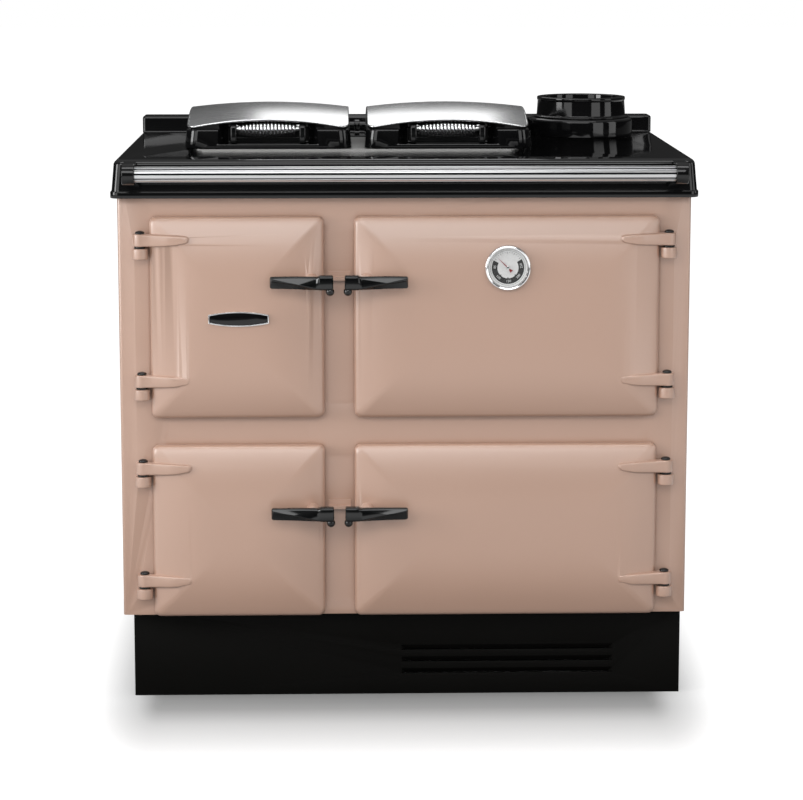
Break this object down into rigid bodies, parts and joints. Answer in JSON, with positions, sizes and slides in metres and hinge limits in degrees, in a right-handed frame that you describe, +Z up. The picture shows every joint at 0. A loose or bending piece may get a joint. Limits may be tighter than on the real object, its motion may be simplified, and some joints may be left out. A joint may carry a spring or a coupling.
{
  "type": "cast iron range cooker",
  "caption": "Enamelled cast iron range cooker with ovens, firebox, lidded hotplate, handrail and round flue outlet.",
  "frame": {"origin": "middle of the footprint, on the floor", "axes": "+X to the right seen from the front, +Y towards the back, +Z up; the doors face -Y"},
  "size_m": [0.945, 0.6694, 0.9695],
  "materials": {
    "pink_enamel": "satin vitreous enamel in dusty pink",
    "black_enamel": "deep gloss black vitreous enamel",
    "plinth_paint": "satin black stoved paint",
    "grey_enamel": "speckled dark grey oven enamel",
    "cast_iron": "bare sand-cast iron",
    "machined_iron": "machined face, fine turning marks",
    "brushed_steel": "polished stainless steel with a fine brush",
    "bright_steel": "bright nickel plate",
    "satin_aluminium": "satin anodised, fluted",
    "galvanised": "galvanised sheet",
    "liner_board": "steel-faced insulating board",
    "black_glaze": "gloss black glaze",
    "glass_rope": "braided glass-fibre rope",
    "dial_white": "matt printed dial",
    "needle_red": "red lacquer",
    "clear_glass": "clear flat glass",
    "brass": "plain brass"
  },
  "bodies": {
    "range": {"plinth": "plinth_paint", "base_plate": "cast_iron", "front_plate": "pink_enamel", "side_panel_left": "pink_enamel", "side_panel_right": "pink_enamel", "back_panel": "galvanised", "top_plate": "black_enamel", "rear_upstand": "black_enamel", "hotplate": "machined_iron", "handrail": "satin_aluminium", "handrail_bracket_left": "black_enamel", "handrail_bracket_right": "black_enamel", "flue_box": "black_enamel", "flue_collar": "black_enamel", "lid_hinge_rod": "black_enamel", "main_oven": "grey_enamel", "lower_oven": "grey_enamel", "firebox": "cast_iron", "burner_pot": "cast_iron", "fuel_valve": "brass", "latch_keeper_upper": "pink_enamel", "latch_keeper_lower": "pink_enamel", "hinge_pin_upper_left_top": "black_glaze", "hinge_pin_upper_left_bottom": "black_glaze", "hinge_pin_upper_right_top": "black_glaze", "hinge_pin_upper_right_bottom": "black_glaze", "hinge_pin_lower_left_top": "black_glaze", "hinge_pin_lower_left_bottom": "black_glaze", "hinge_pin_lower_right_top": "black_glaze", "hinge_pin_lower_right_bottom": "black_glaze"},
    "door_upper_left": {"door_upper_left": "pink_enamel", "door_liner_upper_left": "liner_board", "door_seal_upper_left": "glass_rope"},
    "handle_upper_left": {"door_handle_upper_left": "black_glaze"},
    "door_upper_right": {"door_upper_right": "pink_enamel", "door_liner_upper_right": "liner_board", "door_seal_upper_right": "glass_rope", "thermometer_case": "bright_steel", "thermometer_glass": "clear_glass"},
    "handle_upper_right": {"door_handle_upper_right": "black_glaze"},
    "door_lower_left": {"door_lower_left": "pink_enamel", "door_liner_lower_left": "liner_board", "door_seal_lower_left": "glass_rope"},
    "handle_lower_left": {"door_handle_lower_left": "black_glaze"},
    "door_lower_right": {"door_lower_right": "pink_enamel", "door_liner_lower_right": "liner_board", "door_seal_lower_right": "glass_rope"},
    "handle_lower_right": {"door_handle_lower_right": "black_glaze"},
    "lid_left": {"lid_frame_left": "black_enamel", "lid_cover_left": "brushed_steel", "lid_handle_coil_left": "bright_steel", "lid_handle_bracket_left": "black_glaze"},
    "lid_right": {"lid_frame_right": "black_enamel", "lid_cover_right": "brushed_steel", "lid_handle_coil_right": "bright_steel", "lid_handle_bracket_right": "black_glaze"},
    "needle": {"thermometer_needle": "needle_red"},
    "knob": {"control_knob": "black_glaze"},
    "main_shelf": {"main_oven_shelf": "bright_steel"},
    "lower_shelf": {"lower_oven_shelf": "bright_steel"}
  },
  "joints": [
    {"name": "door_upper_left_hinge", "type": "hinge", "parent": "range", "child": "door_upper_left", "pos_m": [-0.4257, -0.27615, 0.648], "axis": [0, 0, -1], "range_deg": [0, 120]},
    {"name": "door_upper_right_hinge", "type": "hinge", "parent": "range", "child": "door_upper_right", "pos_m": [0.4257, -0.27615, 0.648], "axis": [0, 0, 1], "range_deg": [0, 120]},
    {"name": "door_lower_left_hinge", "type": "hinge", "parent": "range", "child": "door_lower_left", "pos_m": [-0.4257, -0.27615, 0.271], "axis": [0, 0, -1], "range_deg": [0, 120]},
    {"name": "door_lower_right_hinge", "type": "hinge", "parent": "range", "child": "door_lower_right", "pos_m": [0.4257, -0.27615, 0.271], "axis": [0, 0, 1], "range_deg": [0, 120]},
    {"name": "handle_upper_left_lift", "type": "hinge", "parent": "door_upper_left", "child": "handle_upper_left", "pos_m": [-0.1507, -0.30765, 0.708], "axis": [0, 1, 0], "range_deg": [0, 25]},
    {"name": "handle_upper_right_lift", "type": "hinge", "parent": "door_upper_right", "child": "handle_upper_right", "pos_m": [-0.0623, -0.30765, 0.708], "axis": [0, -1, 0], "range_deg": [0, 25]},
    {"name": "handle_lower_left_lift", "type": "hinge", "parent": "door_lower_left", "child": "handle_lower_left", "pos_m": [-0.1507, -0.30765, 0.331], "axis": [0, 1, 0], "range_deg": [0, 25]},
    {"name": "handle_lower_right_lift", "type": "hinge", "parent": "door_lower_right", "child": "handle_lower_right", "pos_m": [-0.0623, -0.30765, 0.331], "axis": [0, -1, 0], "range_deg": [0, 25]},
    {"name": "lid_left_hinge", "type": "hinge", "parent": "range", "child": "lid_left", "pos_m": [-0.225, 0.22735, 0.918], "axis": [-1, 0, 0], "range_deg": [0, 95]},
    {"name": "lid_right_hinge", "type": "hinge", "parent": "range", "child": "lid_right", "pos_m": [0.077, 0.22735, 0.918], "axis": [-1, 0, 0], "range_deg": [0, 95]},
    {"name": "needle_sweep", "type": "hinge", "parent": "door_upper_right", "child": "needle", "pos_m": [0.1642, -0.30165, 0.728], "axis": [0, -1, 0], "range_deg": [0, 250]},
    {"name": "knob_turn", "type": "hinge", "parent": "range", "child": "knob", "pos_m": [-0.2707, -0.13765, 0.1961], "axis": [0, -1, 0], "range_deg": [0, 270]},
    {"name": "main_shelf_slide", "type": "slide", "parent": "range", "child": "main_shelf", "axis": [0, -1, 0], "range_m": [0, 0.05]},
    {"name": "lower_shelf_slide", "type": "slide", "parent": "range", "child": "lower_shelf", "axis": [0, -1, 0], "range_m": [0, 0.05]}
  ]
}
